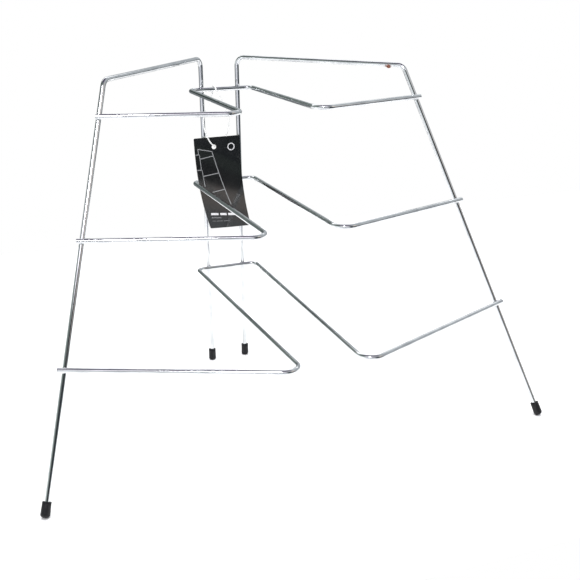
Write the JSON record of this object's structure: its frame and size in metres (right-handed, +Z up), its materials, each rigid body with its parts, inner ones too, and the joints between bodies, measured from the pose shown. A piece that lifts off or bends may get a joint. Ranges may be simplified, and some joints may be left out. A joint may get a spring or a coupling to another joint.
{
  "type": "corner plate rack",
  "caption": "Corner plate rack of bent chrome wire: tiers for plates laid flat between splayed side frames, with soft foot caps and a hanging swing ticket.",
  "frame": {"origin": "on the floor, under the middle of the rack's width and depth", "axes": "+Z up, +Y towards the corner of the room, so plates go in from -Y; +X to the right seen from the front"},
  "size_m": [0.4346, 0.2706, 0.3019],
  "materials": {
    "chrome_wire": "bright chrome plate on drawn steel wire",
    "cap_vinyl": "satin black dipped vinyl",
    "ticket_card": "gloss-laminated black printed card",
    "nylon": "clear-white extruded nylon"
  },
  "bodies": {
    "rack": {"left_frame": "chrome_wire", "right_frame": "chrome_wire", "bottom_tier": "chrome_wire", "middle_tier": "chrome_wire", "top_tier": "chrome_wire", "left_inner_cap": "cap_vinyl", "right_inner_cap": "cap_vinyl", "left_outer_cap": "cap_vinyl", "right_outer_cap": "cap_vinyl"},
    "ticket": {"swing_card": "ticket_card", "ticket_loop": "nylon", "loop_lock": "nylon"}
  },
  "joints": [
    {"name": "ticket_swing", "type": "hinge", "parent": "rack", "child": "ticket", "pos_m": [0, 0.128, 0.272], "axis": [-1, 0, 0], "range_deg": [0, 90]}
  ]
}
